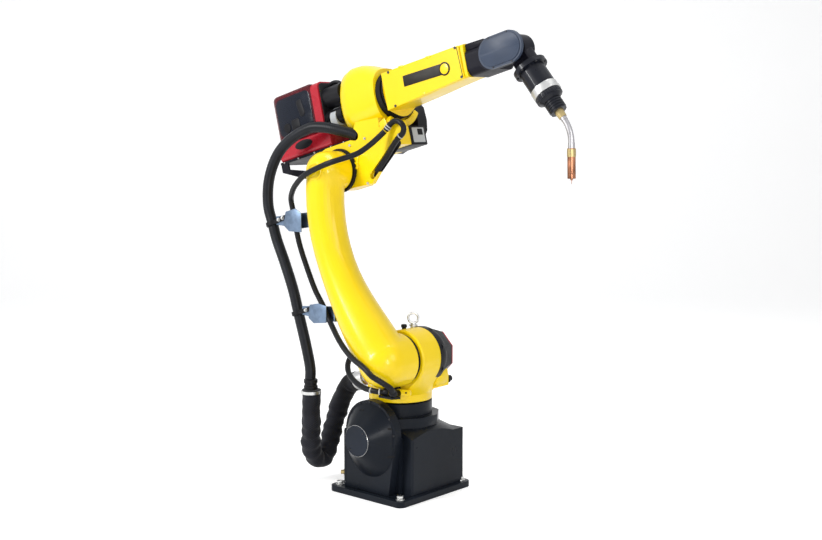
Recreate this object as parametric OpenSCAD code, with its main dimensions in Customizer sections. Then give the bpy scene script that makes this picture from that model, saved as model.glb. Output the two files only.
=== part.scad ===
// Six-axis arc-welding robot arm with a wire feeder and torch, standing on a bolted base.
// Millimetres. The origin is on the floor at the swivel axis, +X is the arm's forward side, +Z is up.

/* [Arm geometry] */
// Forward offset of the shoulder axis from the swivel axis
shoulder_x = 75; // [50:1:120]
// Height of the shoulder axis above the drum's top face
shoulder_rise = 150; // [130:1:220]
// Distance from the shoulder axis to the elbow axis
arm_len = 640; // [560:1:800]
// Backward lean of the lower arm in the modelled pose, degrees
arm_lean = 23.5; // [0:0.5:40]
// Rise of the forearm roll axis over the elbow axis
elbow_rise = 195; // [180:1:240]
// Distance along the forearm from the elbow to the wrist bend axis
forearm_len = 712; // [660:1:860]
// Upward pitch of the forearm in the modelled pose, degrees
forearm_pitch = 14.3; // [0:0.1:40]
// Downward bend of the torch from the forearm in the modelled pose, degrees
torch_bend = 65; // [30:0.1:90]

/* [Base] */
// Base plate size along X
plate_x = 316; // [300:1:420]
// Base plate size along Y
plate_y = 350; // [340:1:440]
// Base plate thickness
plate_t = 20; // [14:1:30]
// Radius of the plate's corners
plate_corner_r = 22; // [8:1:30]
// Distance of each anchor hole from the plate's edges
anchor_inset = 26; // [22:1:40]
// Diameter of the anchor holes
anchor_hole_d = 18; // [12:0.5:22]
// Base housing size along X
housing_x = 280; // [260:1:300]
// Depth of the base housing behind the swivel axis, on the far side
housing_far_y = 150; // [140:1:160]
// Depth of the base housing on the near side
housing_near_y = 115; // [112:1:125]
// Height of the base housing's top above the floor
housing_top = 200; // [180:1:220]
// Radius of the swivel drum
drum_r = 103; // [96:1:110]
// Radius of the drum's lower flange
drum_flange_r = 128; // [118:1:134]
// Height of the drum's top face
drum_top = 300; // [285:1:304]

/* [Side cover] */
// Half width of the arched cover
cover_half_w = 107; // [90:1:115]
// Height of the arch's centre
cover_arch_z = 209; // [200:1:240]
// Thickness of the arched flange
cover_flange_t = 30; // [16:1:36]
// Reach of the cone beyond the flange
cover_cone_h = 62; // [30:1:70]
// Radius of the cone's flat end
cover_disc_r = 50; // [30:1:60]
// Height of the centre of the cone's lower round
cover_low_z = 168; // [140:1:180]
// Height of the cone's axis
cover_disc_z = 196; // [170:1:210]

/* [Turret] */
// Gap between the drum and the turret flange
swivel_gap = 6; // [5:0.5:10]
// Radius of the turret flange
turret_flange_r = 103; // [96:1:108]
// Thickness of the turret flange
turret_flange_t = 24; // [14:1:30]
// Radius of the turret body
turret_body_r = 106; // [98:1:110]
// Radius of the shoulder housing
shoulder_r = 92; // [88:1:100]
// Distance of the shoulder seam face from the arm's centre plane
shoulder_face_y = 78; // [70:1:82]
// Reach of the shoulder housing on the motor side
shoulder_far_y = 74; // [60:1:90]
// Width of the shoulder motor across its flats
motor_w = 118; // [100:1:124]
// Length of the shoulder motor's body
motor_len = 20; // [14:1:60]
// Thickness of the motor's end cap
motor_cap_t = 8; // [5:1:14]
// Reach of the casting's foot under the motor, forwards
foot_x = 128; // [110:1:134]
// Reach of the casting's foot under the motor, sideways
foot_y = 90; // [80:1:96]
// Inner radius of the lifting eye
eye_inner_r = 12; // [9:0.5:16]
// Thickness of the lifting eye's ring
eye_t = 8; // [5:0.5:10]

/* [Lower arm] */
// Distance of the lower arm's centre plane from the robot's centre plane
arm_y = 155; // [150:1:170]
// Radius of the lower arm at the shoulder
arm_low_r = 84; // [76:1:87]
// Radius of the lower arm at its narrowest
arm_mid_r = 60; // [54:1:64]
// Radius of the lower arm at the elbow
arm_top_r = 64; // [60:1:70]
// Backward bow of the lower arm's centre line
arm_bow = 150; // [80:1:170]
// Gap between the faces of moving castings
face_gap = 5; // [5:0.5:8]
// Radial clearance of the bearing spigots
spigot_clear = 0.5; // [0.3:0.1:0.8]

/* [Elbow and forearm] */
// Distance of the elbow seam face from the arm's centre plane
elbow_face_y = 86; // [82:1:90]
// Thickness of the elbow's lower lug
lug_t = 62; // [50:1:80]
// Half width of the roll housing
roll_half_w = 84; // [78:1:86]
// Distance along the forearm from the elbow to the roll seam
roll_face = 200; // [190:1:220]
// Outer radius of the roll seam ring
ring_r = 78; // [74:1:84]
// Length of the roll seam ring
ring_len = 20; // [12:1:26]
// Distance from the end of the forearm casting to the wrist bend axis
wrist_len = 152; // [120:1:170]
// Half height of the forearm at the ring
forearm_h1 = 64; // [56:1:70]
// Half height of the forearm at the wrist
forearm_h2 = 44; // [38:1:50]
// Half width of the forearm at the ring
forearm_w1 = 70; // [60:1:74]
// Half width of the forearm at the wrist
forearm_w2 = 60; // [52:1:64]
// Thickness of the forearm's side cover
side_cover_t = 5; // [3:0.5:8]

/* [Wrist and torch] */
// Radius of the wrist's turning body
wrist_r = 44; // [40:1:48]
// Near face of the wrist's turning body, from the centre plane
wrist_near_y = 26; // [22:1:30]
// Reach of the wrist's turning body on the far side
wrist_far_y = 24; // [20:1:40]
// Radius of the wrist cover's round ends
wrist_cover_r = 47; // [44:1:54]
// Distance between the wrist cover's round ends
wrist_cover_len = 64; // [40:1:70]
// Thickness of the wrist cover
wrist_cover_t = 10; // [6:1:14]
// Distance from the bend axis to the torch flange
torch_flange_at = 66; // [62:1:74]
// Radius of the torch body
torch_r = 40; // [36:1:46]
// Length of the torch body
torch_len = 106; // [96:1:140]
// Width of the torch's clamp band
band_w = 24; // [16:1:30]
// Radius of the swan neck's tube
neck_r = 9; // [7:0.5:11]
// Bend radius of the swan neck
neck_bend_r = 110; // [90:1:130]
// Bend of the swan neck, degrees
neck_bend = 38; // [20:1:45]
// Outer radius of the gas nozzle
nozzle_r = 12; // [11:0.5:15]
// Length of the gas nozzle
nozzle_len = 86; // [60:1:95]

/* [Wire feeder] */
// Length of the feeder's case
case_len = 250; // [220:1:270]
// Width of the feeder
case_w = 140; // [120:1:150]
// Height of the feeder's case
case_h = 62; // [50:1:80]
// Height of the feeder's hood
hood_h = 158; // [130:1:170]
// Wall of the feeder's hood
hood_wall = 4; // [3:0.5:6]
// Width of the band across the hood
hood_band_w = 34; // [24:1:44]
// Thickness of the feeder's mounting plate
feeder_plate_t = 8; // [5:0.5:12]
// Radius of the feeder's motor
feeder_motor_r = 36; // [28:1:40]

/* [Hoses] */
// Radius of the wire conduit
conduit_r = 18; // [16:0.5:20]
// Radius of the control cable
cable_r = 9; // [7:0.5:11]
// Radius of the cloth sleeve
sleeve_r = 32; // [28:0.5:36]
// Thickness of the clip plates
clip_t = 4; // [3:0.5:6]

/* [Hidden] */
$fn = 64;
// Smallest overlap that makes a union or a cut clean
nib = 1;
// Thickness of the slices that a casting is skinned over
slice_t = 1;
// Spacing of soft tubes from what holds them
soft_gap = 0.3;
shoulder_z = drum_top + shoulder_rise;
shoulder = [shoulder_x, 0, shoulder_z];
elbow = shoulder + arm_len * [-sin(arm_lean), 0, cos(arm_lean)];
forearm_end = forearm_len - wrist_len;
anchor_x = plate_x / 2 - anchor_inset;
anchor_y = plate_y / 2 - anchor_inset;
// Depth of the plate edge left clear of the housing's near corner
corner_recess = 15;
flare_h = 26;
drum_flange_h = 32;
drum_step_z = housing_top + flare_h + drum_flange_h;
turret_low = drum_top + swivel_gap;
turret_neck = turret_low + turret_flange_t;
turret_body_h = 44;
spigot_r = 60;
spigot_len = 16;
// The seam ring sits on the shoulder face; the arm's face clears it
seal_t = 6;
seal_r = 80;
arm_low_face = shoulder_face_y + seal_t + face_gap;
arm_top_face = elbow_face_y + face_gap + 6;
elbow_spigot_r = 42;
elbow_seal_t = 6;
roll_hub_r = 50;
cheek_t = 30;
// Distance of the wrist cover's middle behind the bend axis
cover_back = 13;
// Extra room behind the wrist for the torch flange to swing
wrist_room = 16;
pad_y = 88;
box_t = 46;
stay_t = 8;
web_t = 16;
web_slot = [[252, 31], [132, -47]];
lug_back_u = -44;
lug_back_v = 20;
wrist_pin_r = 20;
wrist_pin_len = 8;
// Clip plates: height along the lower arm's curve, and reach
clip_at = [0.26, 0.76];
clip_z = [580, 878];
boss_r = 12;
boss_out = 3;
foot_up = 2;
clip_web_y = arm_y - 2;
clamp_w = 14;
clamp_t = 5;
// Roll housing profile along the forearm: distance, half height above, half height below, half width
roll_profile = [[26, 64, 60, 46], [30, 80, 70, 58], [38, 100, 82, 70], [52, 120, 92, 80], [80, 128, 98, 84], [116, 125, 98, 84],
    [150, 113, 96, 84], [180, 98, 92, 84], [200, 91, 90, 84]];
roll_base = 200;
// Torch pieces, each starting where the one before it ends
torch_flange_t = 14;
torch_flange_out = 12;
torch_body_at = torch_flange_at + torch_flange_t;
torch_cap_at = torch_body_at + torch_len;
torch_cap_len = 48;
torch_cap_r = 25;
brass_at = torch_cap_at + torch_cap_len;
brass_len = 22;
neck_at = brass_at + brass_len;
neck_lead = 8;
neck_tail = 14;
// Step of the sleeves at the ends of the bent tube
neck_collar = 1;
band_at = torch_cap_at - 40;
// Feeder places in the elbow's frame, measured along the forearm and up from the elbow axis
lug_top = 85;
lug_bottom = -66;
feeder_floor = lug_top + feeder_plate_t;
case_front = -36;
hood_front = case_front - 52;
hood_rear = case_front - case_len;
hood_floor = feeder_floor + case_h;
hood_bulge = 12;
hood_corner_r = 44;
stay_end = lug_back_u - (lug_top - lug_back_v) - soft_gap;
// Hose routes, chosen by hand
conduit_upper_route = [[-118, -70, 1149], [-142, -80, 1158], [-170, -91, 1165], [-200, -103, 1172],
    [-236, -113, 1177], [-286, -122, 1174],
    [-349, -130, 1148], [-401, -136, 1112], [-434, -142, 1069], [-453, -148, 1018], [-462, -150, 968],
    [-460, -150, 910], [-440.3, -150, 856.7]];
conduit_run_route = [[-440, -150, 856], [-420, -150, 802], [-384, -150, 731], [-344, -150, 642], [-319, -150, 566]];
conduit_lower_route = [[-318.8, -150, 565.4], [-285, -150, 462], [-266, -150, 390], [-266, -150, 352]];
sleeve_route = [[-263, -150, 316], [-263, -150, 256], [-264, -150, 190], [-270, -144, 128], [-276, -122, 82],
    [-278, -92, 70], [-280, -62, 92], [-280, -42, 140], [-272, -28, 198], [-254, -16, 264], [-224, -8, 316.7],
    [-182.8, -8, 335]];
shoulder_cable_route = [[140, -188, 362.9], [147, -208, 384], [134, -232, 404], [109, -252, 424], [77, -252, 445],
    [11, -242, 471], [-54, -222, 506], [-146, -172, 551], [-184.8, -166.5, 602.4]];
cable_loop_route = [[108, -178, 362.9], [88, -194, 364], [60, -202, 366], [22, -200, 370], [-30, -186, 382],
    [-72, -166, 398], [-98, -144, 420], [-108, -116, 443], [-100, -86, 456], [-80, -67, 446], [-56, -61, 431]];
cable_run_route = [[-186, -166.3, 604], [-222, -166.3, 652], [-256, -166.3, 715], [-289, -166.3, 785],
    [-307, -166.3, 840], [-320, -166.3, 896]];
cable_upper_route = [[-320.2, -166.3, 896.7], [-330, -168, 939], [-300, -192, 966], [-261, -212, 993],
    [-200, -231, 1026], [-137, -235, 1050], [-84, -230, 1068], [-46, -206, 1082], [-23, -172, 1096],
    [-6, -142, 1118], [12, -120, 1142], [30, -106, 1164]];
elbow_cable_route = [[32, -104.5, 1166.7], [47, -98, 1186], [68, -99, 1196], [89, -100, 1192], [102, -98, 1176],
    [97, -97, 1158], [76, -95.5, 1142], [56, -92, 1124], [36, -85, 1106], [14, -79, 1084], [-8, -79, 1060],
    [-28, -79, 1038]];

// Frames that follow the modelled pose

module at_shoulder() translate(shoulder) children();

module elbow_frame() translate(elbow) rotate([0, -forearm_pitch, 0]) children();

module forearm_frame() elbow_frame() translate([0, 0, elbow_rise]) children();

module torch_frame() forearm_frame() translate([forearm_len, 0, 0]) rotate([0, torch_bend, 0]) children();

// Helpers

// Cylinder along Y from y0 to y1
module y_cyl(r, y0, y1) translate([0, y0, 0]) rotate([-90, 0, 0]) cylinder(r = r, h = y1 - y0);

// Cylinder or cone along X from x0 to x1
module x_cyl(r, x0, x1, r_end = -1)
    translate([x0, 0, 0]) rotate([0, 90, 0]) cylinder(r1 = r, r2 = r_end < 0 ? r : r_end, h = x1 - x0);

module round_rect(x, y, r) {
    square([x - 2 * r, y], center = true);
    square([x, y - 2 * r], center = true);
    for (sx = [-1, 1], sy = [-1, 1])
        translate([sx * (x / 2 - r), sy * (y / 2 - r)]) circle(r = r);
}

// Skin over a list of rings that all have the same number of points
module skin(rings) {
    n = len(rings[0]);
    m = len(rings);
    points = [for (ring = rings) each ring];
    sides = [for (i = [0 : m - 2], k = [0 : n - 1]) each [
        [i * n + k, i * n + (k + 1) % n, (i + 1) * n + k],
        [i * n + (k + 1) % n, (i + 1) * n + (k + 1) % n, (i + 1) * n + k]
    ]];
    polyhedron(points, concat([[for (k = [n - 1 : -1 : 0]) k]], sides, [[for (k = [0 : n - 1]) (m - 1) * n + k]]));
}

function unit(v) = v / norm(v);

// Direction of a route at point i
function heading(route, i) =
    unit(route[min(i + 1, len(route) - 1)] - route[max(i - 1, 0)]);

// Ring of points round a centre, square to a direction
function ring_at(centre, dir, r, n, side) =
    let (b = unit(cross(dir, side)), a = cross(b, dir))
    [for (k = [0 : n - 1]) centre + r * (cos(360 * k / n) * a + sin(360 * k / n) * b)];

// Plain tube along a route's own points
module tube(route, r, n = 10, side = [0, 1, 0])
    skin([for (i = [0 : len(route) - 1]) ring_at(route[i], heading(route, i), r, n, side)]);

// Rounded ring in the YZ plane at distance x along the forearm: half width, heights above and below
function soft_ring(x, w, up, down, power, n) = [for (k = [0 : n - 1])
    let (c = cos(360 * k / n), s = sin(360 * k / n))
    [x, w * sign(c) * pow(abs(c), power), (s > 0 ? up : down) * sign(s) * pow(abs(s), power)]];

// Base

module base_plate() color("#1e242b")
    difference() {
        linear_extrude(plate_t) round_rect(plate_x, plate_y, plate_corner_r);
        for (sx = [-1, 1], sy = [-1, 1])
            translate([sx * anchor_x, sy * anchor_y, -nib])
                cylinder(d = anchor_hole_d, h = plate_t + 2 * nib);
    }

// Outline of the base housing: the near corner on the right is set back beside the arched cover
module housing_outline() {
    hx = housing_x / 2;
    near = housing_near_y;
    polygon([[-hx, -near - 3], [-cover_half_w - 9, -near - cover_flange_t], [-cover_half_w - nib, -near - cover_flange_t],
        [-cover_half_w - nib, -near], [cover_half_w - 8, -near], [cover_half_w - 8, -near + corner_recess],
        [hx - 6, -near + corner_recess], [hx, -near + corner_recess + 6], [hx, housing_far_y],
        [-hx, housing_far_y]]);
}

module base_housing() color("#1e242b") {
    translate([0, 0, plate_t]) linear_extrude(housing_top - plate_t) housing_outline();
    intersection() {
        translate([0, 0, housing_top - nib])
            cylinder(r1 = drum_flange_r + 46, r2 = drum_flange_r - 4, h = flare_h + nib);
        linear_extrude(drum_top) translate([0, (housing_far_y - housing_near_y + corner_recess) / 2])
            square([housing_x, housing_far_y + housing_near_y - corner_recess], center = true);
    }
}

module arch_outline() {
    circle(r = cover_half_w);
    polygon([[-cover_half_w, 0], [-cover_half_w, plate_t - cover_arch_z],
        [cover_half_w - 28, plate_t - cover_arch_z], [cover_half_w, 0]]);
}

module side_flange() color("#222a33")
    translate([0, -housing_near_y, cover_arch_z]) rotate([90, 0, 0]) linear_extrude(cover_flange_t) arch_outline();

module side_cone() color("#222a33")
    hull() {
        translate([0, -housing_near_y - cover_flange_t, cover_arch_z]) rotate([90, 0, 0])
            linear_extrude(nib) {
                circle(r = cover_half_w - 9, $fn = 48);
                translate([0, cover_low_z - cover_arch_z]) circle(r = cover_half_w - 9, $fn = 48);
            }
        translate([0, -housing_near_y - cover_flange_t - cover_cone_h, cover_disc_z])
            y_cyl(cover_disc_r, 0, nib, $fn = 48);
    }

module swivel_drum() color("#2a3038")
    difference() {
        union() {
            intersection() {
                translate([0, 0, housing_top + flare_h]) rotate(18) cylinder(r = drum_flange_r, h = drum_flange_h, $fn = 10);
                translate([-drum_flange_r, -housing_near_y + soft_gap, 0])
                    cube([2 * drum_flange_r, housing_near_y + drum_flange_r, drum_top]);
            }
            translate([0, 0, drum_step_z - nib]) cylinder(r = drum_r, h = drum_top - drum_step_z + nib);
        }
        translate([0, 0, drum_top - spigot_len - nib]) cylinder(r = spigot_r + spigot_clear, h = spigot_len + 2 * nib);
    }

// Turret

// Radius of the shoulder housing at distance y from the centre plane
function shoulder_ring(y) = y < -shoulder_face_y + 6 ? shoulder_r - 4
    : y < 20 ? shoulder_r
    : motor_w / 2 - 2 + (shoulder_r - motor_w / 2 + 2) * cos(90 * (y - 20) / (shoulder_far_y - 20));

// Slice of the turret at distance y: the shoulder housing over a chord of the round body
module turret_slice(y) {
    chord = sqrt(max(pow(turret_body_r, 2) - y * y, 100));
    translate([0, y, 0]) rotate([90, 0, 0]) linear_extrude(slice_t)
        hull() {
            translate([shoulder_x, shoulder_z]) circle(r = shoulder_ring(y), $fn = 48);
            translate([-chord, turret_neck]) square([2 * chord, turret_body_h]);
        }
}

turret_cuts = [-shoulder_face_y + slice_t, -shoulder_face_y + 6, -50, -20, 10, 30, 45, 58, 68, shoulder_far_y];

module turret_casting() color("#f7dd04") {
    translate([0, 0, turret_low]) cylinder(r = turret_flange_r, h = turret_flange_t + nib);
    at_gland() translate([0, 0, -50]) cylinder(r = 26, h = 50);
    hull() {
        translate([0, 30, turret_neck + 10]) cube([foot_x - 22, 30, 44]);
        translate([foot_x - 88, 40, turret_neck + 18]) cube([88, foot_y - 40, 36]);
    }
    for (i = [0 : len(turret_cuts) - 2])
        hull() {
            turret_slice(turret_cuts[i]);
            turret_slice(turret_cuts[i + 1]);
        }
}

module swivel_hub() color("#2a2c30")
    translate([0, 0, turret_low - spigot_len]) cylinder(r = spigot_r, h = spigot_len);

module shoulder_seal() color("#15171a") at_shoulder()
    difference() {
        y_cyl(seal_r, -shoulder_face_y - seal_t, -shoulder_face_y);
        y_cyl(spigot_r + spigot_clear, -shoulder_face_y - seal_t - nib, -shoulder_face_y + nib);
    }

module motor_outline(w) {
    c = w * 0.28;
    h = w / 2;
    polygon([[-h, -h + c], [-h + c, -h], [h - c, -h], [h, -h + c], [h, h - c], [h - c, h], [-h + c, h], [-h, h - c]]);
}

module shoulder_motor() color("#2b2420") at_shoulder()
    translate([0, shoulder_far_y, 0]) rotate([-90, 0, 0]) linear_extrude(motor_len) motor_outline(motor_w);

module motor_cap() color("#c53b4b") at_shoulder()
    translate([0, shoulder_far_y + motor_len, 0]) rotate([-90, 0, 0]) linear_extrude(motor_cap_t) motor_outline(motor_w);

module lifting_eye() color("#afb0a8")
    translate([shoulder_x - 20, 0, shoulder_z + sqrt(pow(shoulder_r, 2) - 400) - 2]) {
        cylinder(r = 9, h = 8 + eye_t);
        translate([0, 0, 6]) cylinder(r = 14, h = 5);
        translate([0, 0, 12 + eye_t + eye_inner_r]) rotate([90, 0, 45])
            rotate_extrude() translate([eye_inner_r + eye_t / 2, 0]) circle(d = eye_t, $fn = 24);
    }

// The gland stands on a flat boss of the turret's back
module at_gland() translate([-turret_body_r - 16, -8, turret_neck + 32]) rotate([0, -114, 0]) children();

module hose_gland() color("#8a8d92") at_gland() {
    cylinder(r = 20, h = 30);
    translate([0, 0, 30 - nib]) cylinder(r1 = 26, r2 = sleeve_r, h = 36 + nib);
}

module cable_bracket() color("#3a3d42") {
    translate([10, -shoulder_face_y - 6, turret_neck + 4]) cube([60, 6, 32]);
    translate([0, 0, turret_neck + 18]) linear_extrude(6)
        polygon([[12, -shoulder_face_y - 6 + nib], [68, -shoulder_face_y - 6 + nib], [110, -120], [158, -176],
            [146, -202], [90, -202], [78, -176], [40, -120]]);
}

// Lower arm

bow = arm_bow * [-cos(arm_lean), 0, -sin(arm_lean)];
arm_p0 = shoulder - [0, arm_y, 0];
arm_p3 = elbow - [0, arm_y, 0];
arm_p1 = arm_p0 + (arm_p3 - arm_p0) * 0.29 + bow * 0.36;
arm_p2 = arm_p0 + (arm_p3 - arm_p0) * 0.64 + bow * 0.92;

// Centre line of the lower arm, a cubic curve, and its direction
function arm_at(t) = pow(1 - t, 3) * arm_p0 + 3 * pow(1 - t, 2) * t * arm_p1
    + 3 * (1 - t) * t * t * arm_p2 + pow(t, 3) * arm_p3;
function arm_dir(t) = unit(arm_at(min(t + 0.01, 1)) - arm_at(max(t - 0.01, 0)));

// Radius along the lower arm: wide at the shoulder, narrow past the middle
function arm_radius(t) = t < 0.6
    ? arm_mid_r + (arm_low_r - 2 - arm_mid_r) * pow(cos(150 * t), 2)
    : arm_mid_r + (arm_top_r - 2 - arm_mid_r) * pow(sin(225 * (t - 0.6)), 2);

arm_steps = 14;

// Thin slice of the lower arm, square to its centre line and flat on the side of the joint faces
module arm_slice(t) {
    d = arm_dir(t);
    r = arm_radius(t);
    room = arm_y - arm_low_face - (arm_top_face - arm_low_face) * min(1, 1.5 * t) - 0.5;
    translate(arm_at(t)) rotate([0, atan2(d[0], d[2]), 0]) translate([0, 0, -slice_t / 2]) linear_extrude(slice_t)
        polygon([for (k = [0 : 35]) [r * cos(10 * k), min(r * sin(10 * k), room)]]);
}

// Round end of the lower arm about a joint axis, with a domed outer face
module arm_end(r, face) rotate([90, 0, 0])
    rotate_extrude($fn = 40)
        polygon(concat([[0, face], [r - 3, face], [r, face + 3]],
            [for (a = [0 : 11.25 : 90]) [r * cos(a), arm_y + r * sin(a)]]));

module lower_arm() color("#f7dd04") {
    for (i = [0 : arm_steps - 1])
        hull() {
            arm_slice(i / arm_steps);
            arm_slice((i + 1) / arm_steps);
        }
    at_shoulder() arm_end(arm_low_r, arm_low_face);
    translate(elbow) arm_end(arm_top_r, arm_top_face);
    for (z = clip_z) clip_boss(z);
}

module shoulder_hub() color("#2a2c30") at_shoulder()
    y_cyl(spigot_r, -arm_low_face, -shoulder_face_y - soft_gap);

module elbow_seal() color("#15171a") translate(elbow)
    difference() {
        y_cyl(arm_top_r - 4, -arm_top_face, -arm_top_face + elbow_seal_t);
        y_cyl(elbow_spigot_r + spigot_clear, -arm_top_face - nib, -arm_top_face + elbow_seal_t + nib);
    }

// Share of the curve at which the centre line reaches a height
function arm_t(z, lo = 0, hi = 1, n = 20) = n == 0 ? (lo + hi) / 2
    : let (mid = (lo + hi) / 2) arm_at(mid)[2] < z ? arm_t(z, mid, hi, n - 1) : arm_t(z, lo, mid, n - 1);

// Back of the lower arm at a height
function arm_back(z) = arm_at(arm_t(z))[0] - arm_radius(arm_t(z)) / arm_dir(arm_t(z))[2];

function boss_x(z) = arm_back(z + foot_up) - boss_out;

module clip_boss(z) translate([boss_x(z), -arm_y, z + foot_up - boss_r]) rotate([0, 90, 0]) cylinder(r = boss_r, h = 60);

// Bent clip plate: a foot on the boss and a web towards the hose
module clip_plate(z, hose) {
    x = boss_x(z);
    tip = hose[0] + conduit_r + clamp_t + 2;
    translate([x - clip_t, -arm_y - 18, z + foot_up - 2 * boss_r]) cube([clip_t, 36, 2 * boss_r]);
    translate([0, -clip_web_y, 0]) rotate([90, 0, 0]) linear_extrude(clip_t)
        polygon([[x - nib, z + foot_up - 2 * boss_r], [x - nib, z + foot_up], [min(x - 24, arm_back(z + 24) - 6), z + 24],
            [tip, hose[2] + 26], [tip, hose[2] - 2], [x - 50, z - 30]]);
}

module upper_clip_plate() color("#7a91b9") clip_plate(clip_z[1], conduit_run_route[0]);

module lower_clip_plate() color("#7a91b9") clip_plate(clip_z[0], conduit_run_route[4]);

// Band round the conduit with a tongue on the clip plate's near side
module hose_clamp(route, i, reach) {
    p = route[i];
    d = -heading(route, i);
    translate(p) rotate([0, atan2(d[0], d[2]), 0]) translate([0, 0, -clamp_w / 2])
        difference() {
            union() {
                cylinder(r = conduit_r + clamp_t, h = clamp_w);
                translate([conduit_r, -clip_web_y - p[1] - clip_t - clamp_t, 0]) cube([reach, clamp_t, clamp_w]);
            }
            translate([0, 0, -nib]) cylinder(r = conduit_r + soft_gap, h = clamp_w + 2 * nib);
        }
}

module upper_hose_clamp() color("#22252a") hose_clamp(conduit_run_route, 0, 60);

module lower_hose_clamp() color("#22252a") hose_clamp(conduit_run_route, 4, 76);

// Elbow

// Thin slice of the roll housing
module roll_slice(p) skin([for (x = [0, 0.1]) soft_ring(p[0] * roll_face / roll_base - x, p[3], p[1], p[2], 0.8, 40)]);

// Side outline of the lower lug: flat foot and top, sloped front, round back
module lug_outline() {
    circle(r = -lug_bottom);
    polygon([[-52, -lug_bottom - 20], [-44, lug_top], [66, lug_top], [100, elbow_rise - 60],
        [roll_face - 1, elbow_rise - 70], [roll_face - 1, elbow_rise - ring_r - 6], [190, 56], [70, lug_bottom],
        [0, lug_bottom], [-40, 0]]);
    translate([lug_back_u, lug_back_v]) circle(r = lug_top - lug_back_v);
}

// Thin web at the lug's front, cut by the slot that the cable runs in
module web_outline() {
    difference() {
        polygon([[40, lug_bottom], [124, -71], [300, 70], [292, 92], [roll_face + ring_len, elbow_rise - ring_r - 16],
            [60, 60]]);
        hull() for (end = web_slot) translate(end) circle(r = cable_r + 2);
    }
}

module elbow_casting() color("#f7dd04") difference() {
    union() {
        forearm_frame() for (i = [0 : len(roll_profile) - 2])
            hull() {
                roll_slice(roll_profile[i]);
                roll_slice(roll_profile[i + 1]);
            }
        elbow_frame() {
            translate([0, -elbow_face_y + lug_t, 0]) rotate([90, 0, 0]) linear_extrude(lug_t) difference() {
                lug_outline();
                hull() for (end = web_slot) translate(end) circle(r = cable_r + 2);
            }
            translate([0, -elbow_face_y + web_t, 0]) rotate([90, 0, 0]) linear_extrude(web_t) web_outline();
            translate([90, 0, 118]) cube([90, pad_y, 54]);
            translate([90, -70, 30]) cube([142, 70 + pad_y, 58]);
        }
    }
    hose_entry();
}

// Hole that the conduit enters, a little wider and deeper than the hose
module hose_entry()
    for (i = [0 : 3]) hull() for (k = [i, i + 1])
        translate(conduit_upper_route[k]) sphere(r = conduit_r + 4, $fn = 20);

module elbow_hub() color("#2a2c30") translate(elbow)
    y_cyl(elbow_spigot_r, -arm_top_face + soft_gap, -elbow_face_y);

// Motor cover on a flat pad of the casting's far side
module elbow_motor_box() color("#1c1e22")
    elbow_frame() translate([0, pad_y, 0]) rotate([90, 0, 0]) translate([0, 0, -box_t]) linear_extrude(box_t)
        polygon([[60, 47], [83, 32], [183, 55], [206, 82], [212, 114], [209, 157], [192, 181], [84, 181], [58, 130]]);

module roll_ring() color("#15171a") forearm_frame()
    difference() {
        x_cyl(ring_r, roll_face, roll_face + ring_len);
        x_cyl(roll_hub_r + spigot_clear, roll_face - nib, roll_face + ring_len + nib);
    }

module feeder_plate() color("#23262b") elbow_frame()
    translate([hood_rear - 6, -case_w / 2, lug_top]) cube([60 - hood_rear, case_w, feeder_plate_t]);

module feeder_stay() color("#2b3038") elbow_frame()
    translate([0, -case_w / 2 + stay_t, 0]) rotate([90, 0, 0]) linear_extrude(stay_t)
        polygon([[hood_rear - 4, lug_top], [hood_rear + 30, lug_top], [hood_rear + 30, lug_top - 22],
            [stay_end - 46, lug_back_v + 14], [stay_end, lug_back_v + 14], [stay_end, lug_back_v - 14],
            [stay_end - 56, lug_back_v - 14], [hood_rear - 4, lug_top - 26]]);

module feeder_case() color("#c53b4b") elbow_frame()
    translate([hood_rear, 0, feeder_floor]) rotate([90, 0, 90]) linear_extrude(case_len)
        translate([0, case_h / 2]) round_rect(case_w, case_h, 14);

// Rounded plan and side view of the hood, less a wall
module hood_plan(shrink) {
    w = case_w / 2 - shrink;
    r = hood_corner_r - shrink;
    back = hood_rear - hood_bulge + shrink;
    translate([back + r, -w]) square([hood_front - shrink - back - r, 2 * w]);
    translate([back, r - w]) square([2 * r, 2 * (w - r)]);
    for (side = [-1, 1]) translate([back + r, side * (w - r)]) circle(r = r);
}

module hood_side(shrink) {
    back = hood_rear - hood_bulge + shrink;
    l = hood_front - shrink - back;
    h = hood_h - shrink;
    r = hood_corner_r + 6 - shrink;
    translate([back, 0]) {
        square([l, h - r]);
        translate([r, 0]) square([l - r, h]);
        translate([r, h - r]) circle(r = r);
    }
}

module hood_form(shrink) intersection() {
    linear_extrude(hood_h - shrink) hood_plan(shrink);
    rotate([90, 0, 0]) translate([0, 0, -case_w]) linear_extrude(2 * case_w) hood_side(shrink);
}

module feeder_hood() color("#333d50") elbow_frame() translate([0, 0, hood_floor])
    difference() {
        hood_form(0);
        hood_form(hood_wall);
    }

module feeder_band() color("#c53b4b") elbow_frame()
    translate([hood_front, 0, hood_floor]) rotate([90, 0, 90]) linear_extrude(hood_band_w)
        translate([0, hood_h / 2]) round_rect(case_w, hood_h, 20);

module feeder_drive() color("#3c3f44") elbow_frame()
    translate([hood_rear + 40, -36, hood_floor]) {
        cube([120, 60, 50]);
        for (x = [30, 90]) translate([x, 0, 66]) y_cyl(20, -6, 40);
    }

module feeder_motors() color("#1a1c20") elbow_frame() {
    translate([0, -24, hood_floor + 100]) x_cyl(feeder_motor_r, hood_front + hood_band_w, 24);
    translate([0, -34, hood_floor + 30]) x_cyl(28, hood_front + hood_band_w, 24);
}

module elbow_cable() color("#1c1e22") tube(elbow_cable_route, cable_r);

// Forearm

forearm_start = roll_face + ring_len + face_gap;

// Half width of the forearm's straight flank at a distance
function flank(x) = forearm_w1 - (forearm_w1 - forearm_w2) * (x - box_start) / (forearm_end - box_start);

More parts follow.
